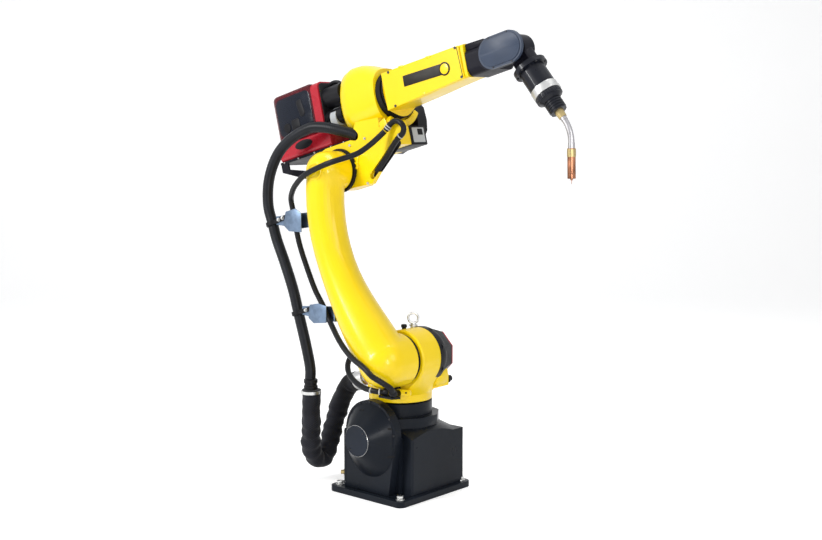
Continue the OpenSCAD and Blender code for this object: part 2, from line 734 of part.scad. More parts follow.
box_start = forearm_start + 8;
flank_angle = atan((forearm_w1 - forearm_w2) / (forearm_end - box_start));
cover_from = box_start + 3;
cover_to = forearm_end - 12;
// Share by which the casting's underside rises to the far side
far_rise = 0.24;

// Forearm sections: distance, half width, height above, height below, squareness
forearm_profile = [
    [forearm_start, ring_r - 4, ring_r - 4, ring_r - 4, 1],
    [box_start - 2, ring_r - 4, ring_r - 4, ring_r - 4, 1],
    [box_start, forearm_w1, forearm_h1 + 2, forearm_h1 - 4, 0.2],
    [box_start + 50, flank(box_start + 50), forearm_h1 + 2, forearm_h1 - 6, 0.2],
    [box_start + 110, flank(box_start + 110), forearm_h1 + 1, forearm_h1 - 9, 0.2],
    [box_start + 160, flank(box_start + 160), forearm_h1, forearm_h2 + 8, 0.2],
    [box_start + 210, flank(box_start + 210), forearm_h1, forearm_h2 + 4, 0.2],
    [forearm_end - 40, flank(forearm_end - 40), forearm_h1 - 1, forearm_h2, 0.2],
    [forearm_end, forearm_w2, forearm_h1 - 3, forearm_h2 - 1, 0.2]
];

// Ring with its underside raised on the far side
function forearm_ring(p, x) = [for (q = soft_ring(p[0] + x, p[1], p[2], p[3], p[4], 40))
    q[2] < 0 && p[4] < 1 ? [q[0], q[1], q[2] * (1 - far_rise * (1 + q[1] / p[1]) / 2)] : q];

module forearm_slice(p) skin([for (x = [0, 0.1]) forearm_ring(p, x)]);

module forearm_casting() color("#f7dd04") forearm_frame()
    for (i = [0 : len(forearm_profile) - 2])
        hull() {
            forearm_slice(forearm_profile[i]);
            forearm_slice(forearm_profile[i + 1]);
        }

module roll_hub() color("#2a2c30") forearm_frame()
    x_cyl(roll_hub_r, roll_face + 2, forearm_start);

module forearm_cover() color("#ffe802") forearm_frame()
    translate([forearm_end, -forearm_w2 - soft_gap, 0]) rotate([90, 0, flank_angle]) linear_extrude(side_cover_t)
        translate([-forearm_end, 0])
            polygon([[cover_from, forearm_h1 - 3], [cover_to, forearm_h1 - 6], [cover_to, -forearm_h2 + 4], [cover_from, 6 - forearm_h1]]);

module wrist_housing() color("#1a1a28") forearm_frame()
    difference() {
        union() {
            translate([forearm_end + 0.1, 0, 1]) rotate([90, 0, 90])
                linear_extrude(forearm_len - wrist_r - face_gap - wrist_room - forearm_end)
                    round_rect(2 * forearm_w2 - 6, 2 * forearm_h2 - 6, 22);
            translate([0, -wrist_near_y - face_gap, 0]) rotate([90, 0, 0]) linear_extrude(cheek_t) {
                translate([forearm_len - wrist_cover_len, -wrist_cover_r + 4])
                    square([wrist_cover_len, 2 * wrist_cover_r - 8]);
                translate([forearm_len - wrist_cover_len, 0]) circle(r = wrist_cover_r - 4);
                translate([forearm_len, 0]) circle(r = wrist_cover_r - 4);
            }
        }
        translate([forearm_len, 0, 0])
            y_cyl(wrist_pin_r + spigot_clear, -wrist_near_y - face_gap - wrist_pin_len - 2, -wrist_near_y);
    }

module wrist_cover() color("#42526d") forearm_frame()
    translate([forearm_len - cover_back, -wrist_near_y - face_gap - cheek_t, 0]) rotate([90, 0, 0]) linear_extrude(wrist_cover_t) {
        translate([-wrist_cover_len / 2, -wrist_cover_r]) square([wrist_cover_len, 2 * wrist_cover_r]);
        for (s = [-1, 1]) translate([s * wrist_cover_len / 2, 0]) circle(r = wrist_cover_r);
    }

module wrist_body() color("#1a1a28") torch_frame()
    union() {
        y_cyl(wrist_r, -wrist_near_y, wrist_far_y);
        y_cyl(wrist_pin_r, -wrist_near_y - face_gap - wrist_pin_len, -wrist_near_y + nib);
        intersection() {
            x_cyl(torch_r - 3, 0, torch_flange_at - soft_gap);
            translate([0, -wrist_near_y, -torch_r]) cube([torch_flange_at, wrist_near_y + torch_r, 2 * torch_r]);
        }
    }

// Torch

module torch_flange() color("#22252a") torch_frame()
    x_cyl(torch_r + torch_flange_out, torch_flange_at, torch_body_at);

module torch_body() color("#222537") torch_frame()
    difference() {
        x_cyl(torch_r, torch_body_at, torch_cap_at);
        difference() {
            x_cyl(torch_r + nib, band_at, band_at + band_w);
            x_cyl(torch_r - 2, band_at - nib, band_at + band_w + nib);
        }
    }

module torch_band() color("#c0c4c8") torch_frame()
    difference() {
        x_cyl(torch_r + 2, band_at, band_at + band_w);
        x_cyl(torch_r - 2 + soft_gap, band_at - nib, band_at + band_w + nib);
    }

module torch_cap() color("#1a1c22") torch_frame() {
    x_cyl(torch_r - 3, torch_cap_at, torch_cap_at + 10, torch_cap_r + 3);
    x_cyl(torch_cap_r, torch_cap_at + 10 - nib, brass_at);
}

module brass_nut() color("#9c8d66") torch_frame()
    x_cyl(14, brass_at, neck_at, 12);

function neck_point(a) = [neck_at + neck_lead + neck_bend_r * sin(a), 0, -neck_bend_r * (1 - cos(a))];

module neck_end() translate(neck_point(neck_bend)) rotate([0, neck_bend, 0]) children();

module swan_neck() color("#8d8c92") torch_frame() {
    x_cyl(neck_r + neck_collar, neck_at, neck_at + neck_lead + 2);
    translate([neck_at + neck_lead, 0, -neck_bend_r]) rotate([-90, 0, 0]) rotate([0, 0, -90])
        rotate_extrude(angle = neck_bend) translate([neck_bend_r, 0]) circle(r = neck_r);
    neck_end() x_cyl(neck_r + neck_collar, -2, neck_tail);
}

module gas_nozzle() color("#a07a6a") torch_frame() neck_end()
    difference() {
        union() {
            x_cyl(nozzle_r, neck_tail, neck_tail + nozzle_len);
        }
        x_cyl(nozzle_r - 3, neck_tail + 12, neck_tail + nozzle_len + nib);
    }

// Hoses that bend with a joint

module conduit_run() color("#1e2126") tube(conduit_run_route, conduit_r);

module cable_run() color("#1c1e22") tube(cable_run_route, cable_r);

module conduit_upper() color("#1e2126") tube(conduit_upper_route, conduit_r);

module conduit_lower() color("#1e2126") tube(conduit_lower_route, conduit_r);

module hose_coupling() color("#181a1e")
    skin([ring_at([-266, -150, 352 - soft_gap], [0, 0, -1], conduit_r + 3, 16, [0, 1, 0]),
        ring_at([-263, -150, 316 + soft_gap], [0, 0, -1], conduit_r + 4, 16, [0, 1, 0])]);

module cloth_sleeve() color("#34364a") tube(sleeve_route, sleeve_r, 12);

module shoulder_cables() color("#1c1e22") {
    tube(shoulder_cable_route, cable_r);
    tube(cable_loop_route, cable_r);
}

module cable_upper() color("#1c1e22") tube(cable_upper_route, cable_r);

base_plate();
base_housing();
side_flange();
side_cone();
swivel_drum();
turret_casting();
swivel_hub();
shoulder_seal();
shoulder_motor();
motor_cap();
lifting_eye();
hose_gland();
cable_bracket();
lower_arm();
shoulder_hub();
elbow_seal();
upper_clip_plate();
lower_clip_plate();
upper_hose_clamp();
lower_hose_clamp();
conduit_run();
cable_run();
elbow_casting();
elbow_hub();
elbow_motor_box();
roll_ring();
feeder_plate();
feeder_stay();
feeder_case();
feeder_hood();
feeder_band();
feeder_drive();
feeder_motors();
elbow_cable();
forearm_casting();
roll_hub();
forearm_cover();
wrist_housing();
wrist_cover();
wrist_body();
torch_flange();
torch_body();
torch_band();
torch_cap();
brass_nut();
swan_neck();
gas_nozzle();
conduit_upper();
conduit_lower();
hose_coupling();
cloth_sleeve();
shoulder_cables();
cable_upper();
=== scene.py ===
# Looks of an arc-welding robot arm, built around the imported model. Metres, +Z up.
import math
import bmesh
import bpy
from mathutils import Matrix, Vector, noise


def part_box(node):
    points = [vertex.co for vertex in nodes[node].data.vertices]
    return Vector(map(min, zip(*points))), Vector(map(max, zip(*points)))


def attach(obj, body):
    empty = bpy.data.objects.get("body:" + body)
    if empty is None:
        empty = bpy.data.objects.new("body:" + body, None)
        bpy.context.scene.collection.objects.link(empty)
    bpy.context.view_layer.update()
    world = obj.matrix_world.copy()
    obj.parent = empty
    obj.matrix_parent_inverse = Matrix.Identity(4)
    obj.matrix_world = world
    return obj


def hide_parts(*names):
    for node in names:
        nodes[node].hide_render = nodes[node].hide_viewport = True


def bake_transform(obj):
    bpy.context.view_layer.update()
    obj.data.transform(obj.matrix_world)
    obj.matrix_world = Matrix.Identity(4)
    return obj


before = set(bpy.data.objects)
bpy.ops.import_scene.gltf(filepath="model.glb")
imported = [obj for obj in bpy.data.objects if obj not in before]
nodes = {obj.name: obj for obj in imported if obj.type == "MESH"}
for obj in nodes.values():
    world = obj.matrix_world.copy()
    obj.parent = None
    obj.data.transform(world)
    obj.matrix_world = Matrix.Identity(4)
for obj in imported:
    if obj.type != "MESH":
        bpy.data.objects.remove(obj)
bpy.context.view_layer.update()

# Photograph's camera: focal length and height of the horizon in pixels, place in metres
PHOTO_WIDTH = 822
SENSOR_WIDTH = 36
FOCAL_PIXELS = 1250
HORIZON_PIXELS = 140
CAMERA_PLACE = (2.676, -2.9733, 1.168)
CAMERA_YAW = math.radians(41.5)
CAMERA_DIP = math.atan(HORIZON_PIXELS / FOCAL_PIXELS)

# The model's links and cords in millimetres, and its pose
MM_PER_M = 1000
SHOULDER_X, SHOULDER_Z = 75, 450
ARM_LENGTH, ELBOW_RISE, FOREARM_LENGTH = 640, 195, 712
CONDUIT_R, SLEEVE_R, CABLE_R = 18, 32, 9
LEAN, PITCH, BEND = math.radians(23.5), math.radians(14.3), math.radians(65)

# Finish of edges and surfaces
WELD_GAP = 0.00005
BEVEL_WIDTH = 0.0015
BEVEL_ANGLE, SPLIT_ANGLE, SHARP_ANGLE = math.radians(40), math.radians(38), math.radians(36)
# Length of one wave of the wave texture at scale 1, and width of a tube's side in its UV map
WAVE_LENGTH = math.pi / 10
UV_SIDE = 0.003


def at(x, y, z):
    return Matrix.Translation((x, y, z))


def turn(degrees, axis):
    return Matrix.Rotation(math.radians(degrees), 4, axis)


def facing(point, normal, along=(1, 0, 0)):
    """Frame at a point whose Z axis is the normal."""
    z = Vector(normal).normalized()
    x = (Vector(along) - z * z.dot(Vector(along))).normalized()
    frame_at = Matrix((x, z.cross(x), z)).transposed().to_4x4()
    frame_at.translation = Vector(point)
    return frame_at


def looking(place, way):
    """Frame of a camera or a light that looks along a way."""
    return Matrix.Translation(place) @ way.to_track_quat("-Z", "Y").to_matrix().to_4x4()


# Turns that bring a shape's own Z axis to the near side, the far side, the front or the back
NEAR, FAR, FRONT, BACK = turn(90, "X"), turn(-90, "X"), turn(90, "Y"), turn(-90, "Y")

# Frames that follow the modelled pose, in millimetres
SHOULDER_M = at(SHOULDER_X, 0, SHOULDER_Z)
ELBOW = Vector((SHOULDER_X, 0, SHOULDER_Z)) + ARM_LENGTH * Vector((-math.sin(LEAN), 0, math.cos(LEAN)))
ELBOW_M = Matrix.Translation(ELBOW) @ Matrix.Rotation(-PITCH, 4, "Y")
FOREARM_M = ELBOW_M @ at(0, 0, ELBOW_RISE)
TORCH_M = FOREARM_M @ at(FOREARM_LENGTH, 0, 0) @ Matrix.Rotation(BEND, 4, "Y")
NOZZLE_M = TORCH_M @ at(342.8, 0, -31.9) @ turn(38, "Y")
COVER_M = FOREARM_M @ at(233, -75, 0) @ turn(1.75, "Z") @ NEAR
WRIST_M = FOREARM_M @ at(699, -71, 0) @ NEAR
GLAND_M = facing((-122, -8, 362), (-0.9135, 0, -0.4067), (0, 1, 0))


# Camera, light and floor

def add_camera():
    data = bpy.data.cameras.new("camera")
    data.sensor_width = SENSOR_WIDTH
    data.lens = FOCAL_PIXELS / PHOTO_WIDTH * SENSOR_WIDTH
    data.clip_end = 60
    camera = bpy.data.objects.new("camera", data)
    level = math.cos(CAMERA_DIP)
    view = Vector((-math.sin(CAMERA_YAW) * level, math.cos(CAMERA_YAW) * level, -math.sin(CAMERA_DIP)))
    camera.matrix_world = looking(CAMERA_PLACE, view)
    bpy.context.scene.collection.objects.link(camera)
    bpy.context.scene.camera = camera


def add_light(name, place, target, size, tall, power):
    data = bpy.data.lights.new(name, "AREA")
    data.shape = "ELLIPSE"
    data.size = size
    data.size_y = tall
    data.energy = power
    light = bpy.data.objects.new(name, data)
    light.matrix_world = looking(place, Vector(target) - Vector(place))
    bpy.context.scene.collection.objects.link(light)


def add_lights():
    add_light("key", (-1.9, -4.1, 3.1), target=(0, 0, 0.8), size=1.1, tall=3.0, power=205)
    add_light("fill", (4.6, -1.0, 2.8), target=(0, 0, 0.8), size=2.0, tall=2.6, power=46)
    add_light("front", (3.15, -2.4, 1.15), target=(0, 0, 0.7), size=0.45, tall=1.3, power=34)
    add_light("top", (0.4, 0.8, 4.8), target=(0, 0, 0.6), size=2.4, tall=2.4, power=98)


def add_world():
    world = bpy.data.worlds.new("studio")
    bpy.context.scene.world = world
    world.use_nodes = True
    sky = world.node_tree.nodes["Background"]
    sky.inputs["Color"].default_value = (0.97, 0.98, 1, 1)
    pale_when_seen(world.node_tree, sky.inputs["Strength"], lit=0.3, glow=0.65)


def add_stage(material):
    """Floor that bends up into a backdrop, square to the camera."""
    half, front, rear, top, bend, steps = 9, -7, 6, 7, 1.6, 12
    line = [(front, 0)]
    for k in range(steps + 1):
        a = math.pi / 2 * k / steps
        line.append((rear - bend + bend * math.sin(a), bend - bend * math.cos(a)))
    line.append((rear, top))
    square = Matrix.Rotation(CAMERA_YAW, 4, "Z")
    verts = [square @ Vector((x, depth, z)) for depth, z in line for x in (-half, half)]
    faces = [(2 * i, 2 * i + 1, 2 * i + 3, 2 * i + 2) for i in range(len(line) - 1)]
    mesh = bpy.data.meshes.new("floor")
    mesh.from_pydata(verts, [], faces)
    mesh.shade_smooth()
    mesh.materials.append(material)
    floor = bpy.data.objects.new("floor", mesh)
    bpy.context.scene.collection.objects.link(floor)


# Materials

def new_material(name, colour, rough, metal=0.0):
    material = bpy.data.materials.new(name)
    material.use_nodes = True
    shader = material.node_tree.nodes["Principled BSDF"]
    shader.inputs["Base Color"].default_value = (*colour, 1)
    shader.inputs["Roughness"].default_value = rough
    shader.inputs["Metallic"].default_value = metal
    return material, material.node_tree, shader


def add_node(tree, kind, **values):
    node = tree.nodes.new(kind)
    for key, value in values.items():
        if key in node.inputs:
            node.inputs[key].default_value = value
        else:
            setattr(node, key, value)
    return node


def noise_at(tree, scale, detail=4.0, stretch=None):
    coords = add_node(tree, "ShaderNodeTexCoord")
    source = coords.outputs["Object"]
    if stretch:
        mapping = add_node(tree, "ShaderNodeMapping", Scale=stretch)
        tree.links.new(source, mapping.inputs["Vector"])
        source = mapping.outputs["Vector"]
    texture = add_node(tree, "ShaderNodeTexNoise", Scale=scale, Detail=detail)
    tree.links.new(source, texture.inputs["Vector"])
    return texture.outputs["Fac"]


def vary_colour(tree, shader, fac, colour, darkest, lightest, start=0.35, end=0.65):
    """Shades of one colour, as shares of it, while the factor goes from start to end."""
    ramp = add_node(tree, "ShaderNodeValToRGB")
    for element, place, share in zip(ramp.color_ramp.elements, (start, end), (darkest, lightest)):
        element.position = place
        element.color = (*[min(c * share, 1) for c in colour], 1)
    tree.links.new(fac, ramp.inputs["Fac"])
    tree.links.new(ramp.outputs["Color"], shader.inputs["Base Color"])


def vary_rough(tree, shader, fac, low, high):
    spread = add_node(tree, "ShaderNodeMapRange")
    spread.inputs["From Min"].default_value = 0.3
    spread.inputs["From Max"].default_value = 0.7
    spread.inputs["To Min"].default_value = low
    spread.inputs["To Max"].default_value = high
    tree.links.new(fac, spread.inputs["Value"])
    tree.links.new(spread.outputs["Result"], shader.inputs["Roughness"])


def add_bump(tree, shader, height, strength, distance):
    bump = add_node(tree, "ShaderNodeBump", Strength=strength, Distance=distance)
    tree.links.new(height, bump.inputs["Height"])
    tree.links.new(bump.outputs["Normal"], shader.inputs["Normal"])


def add_wave(tree, way, pitch, source):
    """Bands across one way of a UV map, a pitch apart."""
    scale = WAVE_LENGTH / pitch
    wave = add_node(tree, "ShaderNodeTexWave", wave_type="BANDS", bands_direction=way, Scale=scale)
    tree.links.new(source, wave.inputs["Vector"])
    return wave.outputs["Fac"]


def painted(name, colour, rough, spread=0.06, peel=0.08, coat=0.0, gloss=0.5):
    """Paint with slight patches of tone, smears of gloss and orange peel."""
    material, tree, shader = new_material(name, colour, rough)
    vary_colour(tree, shader, noise_at(tree, scale=5), colour, 1 - spread, 1 + spread)
    vary_rough(tree, shader, noise_at(tree, scale=14), low=rough - 0.06, high=rough + 0.08)
    add_bump(tree, shader, noise_at(tree, scale=420, detail=2), strength=peel, distance=0.0006)
    shader.inputs["Specular IOR Level"].default_value = gloss
    shader.inputs["Coat Weight"].default_value = coat
    shader.inputs["Coat Roughness"].default_value = 0.16
    return material


def metal_finish(name, colour, rough, stretch=None, grain=260, spread=0.12):
    """Bare metal with a grain that may run one way."""
    material, tree, shader = new_material(name, colour, rough, metal=1.0)
    fac = noise_at(tree, grain, detail=3, stretch=stretch)
    vary_colour(tree, shader, fac, colour, 1 - spread, 1 + spread)
    vary_rough(tree, shader, noise_at(tree, scale=40), low=rough - 0.06, high=rough + 0.12)
    add_bump(tree, shader, fac, strength=0.12, distance=0.0005)
    return material


def moulded(name, colour, rough, grain=900, coat=0.0):
    """Plastic or rubber with a fine grain from its mould."""
    material, tree, shader = new_material(name, colour, rough)
    vary_colour(tree, shader, noise_at(tree, scale=9), colour, 0.88, 1.1)
    vary_rough(tree, shader, noise_at(tree, scale=30), low=rough - 0.05, high=rough + 0.1)
    add_bump(tree, shader, noise_at(tree, grain, detail=2), strength=0.15, distance=0.0004)
    shader.inputs["Specular IOR Level"].default_value = 0.16
    shader.inputs["Coat Weight"].default_value = coat
    return material


def ribbed(name, colour, rough, pitch, strength):
    """Hose with ribs across its length."""
    material, tree, shader = new_material(name, colour, rough)
    vary_colour(tree, shader, noise_at(tree, scale=25), colour, 0.8, 1.3)
    uv = add_node(tree, "ShaderNodeUVMap", uv_map="along")
    add_bump(tree, shader, add_wave(tree, "Y", pitch, uv.outputs["UV"]), strength, distance=0.0012)
    shader.inputs["Specular IOR Level"].default_value = 0.18
    return material


def woven(name, colour, rough, pitch):
    """Cloth woven on the diagonal, worn in patches."""
    material, tree, shader = new_material(name, colour, rough)
    uv = add_node(tree, "ShaderNodeUVMap", uv_map="along")
    diagonal = add_node(tree, "ShaderNodeMapping", Rotation=(0, 0, math.radians(45)))
    tree.links.new(uv.outputs["UV"], diagonal.inputs["Vector"])
    threads = [add_wave(tree, way, pitch, diagonal.outputs["Vector"]) for way in ("X", "Y")]
    weave = add_node(tree, "ShaderNodeMath", operation="MULTIPLY")
    tree.links.new(threads[0], weave.inputs[0])
    tree.links.new(threads[1], weave.inputs[1])
    worn = add_node(tree, "ShaderNodeMath", operation="MULTIPLY_ADD")
    tree.links.new(weave.outputs[0], worn.inputs[0])
    worn.inputs[1].default_value = 0.5
    tree.links.new(noise_at(tree, scale=16), worn.inputs[2])
    vary_colour(tree, shader, worn.outputs[0], colour, 0.55, 1.7, end=0.95)
    add_bump(tree, shader, weave.outputs[0], strength=0.5, distance=0.0012)
    shader.inputs["Specular IOR Level"].default_value = 0.2
    shader.inputs["Sheen Weight"].default_value = 0.12
    return material


def smoked(name, colour, alpha):
    """Dark clear plastic."""
    material, tree, shader = new_material(name, colour, 0.12)
    vary_rough(tree, shader, noise_at(tree, scale=22), low=0.08, high=0.22)
    shader.inputs["Alpha"].default_value = alpha
    shader.inputs["Specular IOR Level"].default_value = 0.22
    material.surface_render_method = "BLENDED"
    return material


def pale_when_seen(tree, target, lit, glow):
    """Strength that rises by the glow where the camera, a reflection or a clear part looks at it."""
    paths = add_node(tree, "ShaderNodeLightPath")
    seen = paths.outputs["Is Camera Ray"]
    for kind in ("Is Glossy Ray", "Is Transmission Ray"):
        both = add_node(tree, "ShaderNodeMath", operation="ADD")
        tree.links.new(seen, both.inputs[0])
        tree.links.new(paths.outputs[kind], both.inputs[1])
        seen = both.outputs[0]
    strength = add_node(tree, "ShaderNodeMath", operation="MULTIPLY_ADD")
    tree.links.new(seen, strength.inputs[0])
    strength.inputs[1].default_value = glow
    strength.inputs[2].default_value = lit
    tree.links.new(strength.outputs[0], target)


def backdrop(name, colour, glow):
    """Pale floor that keeps the object's shadow."""
    material, tree, shader = new_material(name, colour, 0.7)
    shader.inputs["Emission Color"].default_value = (1, 1, 1, 1)
    pale_when_seen(tree, shader.inputs["Emission Strength"], lit=0, glow=glow)
    return material


YELLOW = painted("yellow_paint", (0.90, 0.64, 0.0012), 0.34, spread=0.03, peel=0.05, coat=0.42, gloss=0.2)
BLACK = painted("black_paint", (0.0075, 0.010, 0.015), 0.32, spread=0.2, peel=0.1, gloss=0.12)
DARK = painted("dark_paint", (0.006, 0.006, 0.011), 0.42, spread=0.2, peel=0.1, gloss=0.12)
GREY = painted("slate_paint", (0.034, 0.048, 0.080), 0.42, spread=0.14, peel=0.1, gloss=0.3)
DISC = painted("disc_paint", (0.010, 0.014, 0.023), 0.34, spread=0.2, peel=0.1, gloss=0.14)
PALE = painted("pale_panel", (0.42, 0.44, 0.46), 0.5, spread=0.05, peel=0.1)
CLIP = metal_finish("zinc_plate", (0.15, 0.205, 0.29), 0.44, grain=60)
STEEL = metal_finish("bright_steel", (0.58, 0.58, 0.57), 0.3, grain=1600, spread=0.05)
HUB = metal_finish("machined_hub", (0.06, 0.06, 0.065), 0.4)
TUBE = metal_finish("drawn_tube", (0.42, 0.41, 0.42), 0.3, stretch=(1, 6, 1))
BRASS = metal_finish("brass", (0.46, 0.36, 0.17), 0.32)
COPPER = metal_finish("worn_copper", (0.34, 0.15, 0.085), 0.27, grain=40, spread=0.35)
# Dark rubber of the seals; the same colour is also painted shade in holes, pockets, a slot, a flange band
# and the nozzle's mouth
RUBBER_AND_SHADE = moulded("seal_rubber_and_shade", (0.008, 0.008, 0.009), 0.6)
PLASTIC = moulded("black_plastic", (0.0075, 0.0075, 0.0095), 0.38)
TORCHSKIN = moulded("torch_plastic", (0.006, 0.007, 0.012), 0.32, grain=700, coat=0.2)
RED = moulded("red_plastic", (0.42, 0.012, 0.026), 0.26, grain=1200, coat=0.4)
MAROON = moulded("dark_red_plastic", (0.16, 0.012, 0.02), 0.35)
HOOD = smoked("smoked_hood", (0.10, 0.008, 0.014), alpha=0.82)
WINDOW = smoked("smoked_window", (0.006, 0.009, 0.018), alpha=0.96)
HOSE = ribbed("hose_rubber", (0.008, 0.009, 0.012), 0.34, pitch=0.006, strength=0.25)
CABLE = moulded("cable_jacket", (0.008, 0.0085, 0.0105), 0.34, grain=600)
SLEEVE = woven("sleeve_cloth", (0.010, 0.0105, 0.015), 0.8, pitch=0.004)
NAMEPLATE = painted("bare_plate", (0.012, 0.009, 0.006), 0.42, spread=0.15, peel=0.06, gloss=0.2)
TIE = moulded("pale_tie", (0.5, 0.5, 0.47), 0.5)
FLOOR = backdrop("floor", (0.86, 0.86, 0.86), glow=0.4)

FINISH = {
    YELLOW: ["turret_casting", "lower_arm", "elbow_casting", "forearm_casting", "forearm_cover"],
    BLACK: ["base_plate", "base_housing", "side_flange", "side_cone", "swivel_drum", "cable_bracket"],
    DARK: ["wrist_housing", "wrist_body", "feeder_plate", "feeder_stay"],
    GREY: ["wrist_cover"],
    CLIP: ["upper_clip_plate", "lower_clip_plate"],
    HUB: ["swivel_hub", "shoulder_hub", "elbow_hub", "roll_hub"],
    STEEL: ["lifting_eye", "torch_band", "hose_gland"],
    TUBE: ["swan_neck"],
    BRASS: ["brass_nut"],
    COPPER: ["gas_nozzle"],
    RUBBER_AND_SHADE: ["shoulder_seal", "elbow_seal", "roll_ring"],
    PLASTIC: ["shoulder_motor", "elbow_motor_box", "feeder_motors", "feeder_drive", "upper_hose_clamp",
              "lower_hose_clamp", "hose_coupling"],
    TORCHSKIN: ["torch_flange", "torch_body", "torch_cap"],
    RED: ["motor_cap", "feeder_case", "feeder_band"],
    HOOD: ["feeder_hood"],
    HOSE: ["conduit_upper", "conduit_run", "conduit_lower"],
    CABLE: ["cable_upper", "cable_run", "elbow_cable", "shoulder_cables"],
    SLEEVE: ["cloth_sleeve"],
}
# Solids with large curved skins, whose edges are split and not bevelled
CASTINGS = ["turret_casting", "lower_arm", "elbow_casting", "forearm_casting", "side_cone"]


def dress(node, material):
    """Finish and edges of one of the model's own solids."""
    piece = nodes[node]
    mesh = piece.data
    mesh.materials.clear()
    mesh.materials.append(material)
    with bpy.context.temp_override(object=piece, active_object=piece, selected_objects=[piece]):
        if mesh.has_custom_normals:
            bpy.ops.mesh.customdata_custom_splitnormals_clear()
    mesh.shade_smooth()
    weld = piece.modifiers.new("weld", "WELD")
    weld.merge_threshold = WELD_GAP
    if node in CASTINGS:
        split = piece.modifiers.new("edges", "EDGE_SPLIT")
        split.split_angle = SPLIT_ANGLE
        return
    bevel = piece.modifiers.new("bevel", "BEVEL")
    bevel.width = BEVEL_WIDTH
    bevel.segments = 2
    bevel.limit_method = "ANGLE"
    bevel.angle_limit = BEVEL_ANGLE
    piece.modifiers.new("normals", "WEIGHTED_NORMAL")


# Mesh helpers

def add_piece(name, mesh, material, body):
    mesh.materials.append(material)
    mesh.shade_smooth()
    mesh.set_sharp_from_angle(angle=SHARP_ANGLE)
    piece = bpy.data.objects.new(name, mesh)
    bpy.context.scene.collection.objects.link(piece)
    if body:
        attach(piece, body)
    return piece


def curve_through(points, step):
    """Points at an even step on a smooth curve through the given ones, and the curve's length."""
    parts = 24
    pts = [Vector(p) for p in points]
    pts = [2 * pts[0] - pts[1]] + pts + [2 * pts[-1] - pts[-2]]
    fine = []
    for i in range(1, len(pts) - 2):
        a, b, c, d = pts[i - 1 : i + 3]
        for k in range(parts):
            t = k / parts
            line = 2 * b + (c - a) * t
            square = (2 * a - 5 * b + 4 * c - d) * t * t
            cube = (3 * b - a - 3 * c + d) * t ** 3
            fine.append(0.5 * (line + square + cube))
    fine.append(pts[-2])
    spans = [(fine[i + 1] - fine[i]).length for i in range(len(fine) - 1)]
    total = sum(spans)
    count = max(int(total / step), 4)
    even, i, gone = [], 0, 0.0
    for k in range(count + 1):
        want = total * k / count
        while i < len(spans) - 1 and gone + spans[i] < want:
            gone += spans[i]
            i += 1
        share = min(max((want - gone) / max(spans[i], 1e-9), 0), 1)
        even.append(fine[i].lerp(fine[i + 1], share))
    return even, total


def tube_mesh(name, path, radius, sides=20):
    """Closed tube along a path, with a UV map in metres: around, then along."""
    mesh = bpy.data.meshes.new(name)
    bm = bmesh.new()
    uv = bm.loops.layers.uv.new("along")
    side = None
    rings, along, gone = [], [], 0.0
    for i, p in enumerate(path):
        way = (path[min(i + 1, len(path) - 1)] - path[max(i - 1, 0)]).normalized()
        if side is None:
            side = way.orthogonal().normalized()
        side = (side - way * side.dot(way)).normalized()
        other = way.cross(side)
        if i:
            gone += (p - path[i - 1]).length
        ring = []
        for k in range(sides):
            a = 2 * math.pi * k / sides
            reach = radius(gone, a) if callable(radius) else radius
            ring.append(bm.verts.new(p + reach * (math.cos(a) * side + math.sin(a) * other)))
        rings.append(ring)
        along.append(gone)
    for i in range(len(rings) - 1):
        for k in range(sides):
            n = (k + 1) % sides
            face = bm.faces.new((rings[i][k], rings[i][n], rings[i + 1][n], rings[i + 1][k]))
            for loop, (u, v) in zip(face.loops, ((k, i), (k + 1, i), (k + 1, i + 1), (k, i + 1))):
                loop[uv].uv = (u * UV_SIDE, along[v])
    bm.faces.new(list(reversed(rings[0])))
    bm.faces.new(rings[-1])
    bm.to_mesh(mesh)
    bm.free()
    return mesh


def hose(name, route, radius, material, stands_for, body=None, blend=None, step=0.008,
         sides=20, wrinkle=None):
    """Hose on a route of the model. Route and radius are in millimetres."""
    path, length = curve_through([Vector(p) / MM_PER_M for p in route], step)
    mesh = tube_mesh(name, path, wrinkle or radius / MM_PER_M, sides)
    piece = add_piece(name, mesh, material, body)
    if blend:
        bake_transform(piece)
    if stands_for:
        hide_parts(stands_for)


# Hoses and cables, on the routes of the model's solids

CONDUIT_UPPER = [(-118, -70, 1149), (-142, -80, 1158), (-170, -91, 1165), (-200, -103, 1172),
                 (-236, -113, 1177), (-286, -122, 1174), (-349, -130, 1148), (-401, -136, 1112),
                 (-434, -142, 1069), (-453, -148, 1018), (-462, -150, 968), (-460, -150, 910),
                 (-440.3, -150, 856.7)]
CONDUIT_RUN = [(-440, -150, 856), (-420, -150, 802), (-384, -150, 731), (-344, -150, 642), (-319, -150, 566)]
CONDUIT_LOWER = [(-318.8, -150, 565.4), (-285, -150, 462), (-266, -150, 390), (-266, -150, 352)]
SLEEVE_ROUTE = [(-263, -150, 316), (-263, -150, 256), (-264, -150, 190), (-270, -144, 128), (-276, -122, 82),
                (-278, -92, 70), (-280, -62, 92), (-280, -42, 140), (-272, -28, 198), (-254, -16, 264),
                (-224, -8, 316.7), (-182.8, -8, 335)]
SHOULDER_CABLE = [(140, -188, 362.9), (147, -208, 384), (134, -232, 404), (109, -252, 424), (77, -252, 445),
                  (11, -242, 471), (-54, -222, 506), (-146, -172, 551), (-184.8, -166.5, 602.4)]
CABLE_LOOP = [(108, -178, 362.9), (88, -194, 364), (60, -202, 366), (22, -200, 370), (-30, -186, 382),
              (-72, -166, 398), (-98, -144, 420), (-108, -116, 443), (-100, -86, 456), (-80, -67, 446),
              (-56, -61, 431)]
CABLE_RUN = [(-186, -166.3, 604), (-222, -166.3, 652), (-256, -166.3, 715), (-289, -166.3, 785),
             (-307, -166.3, 840), (-320, -166.3, 896)]
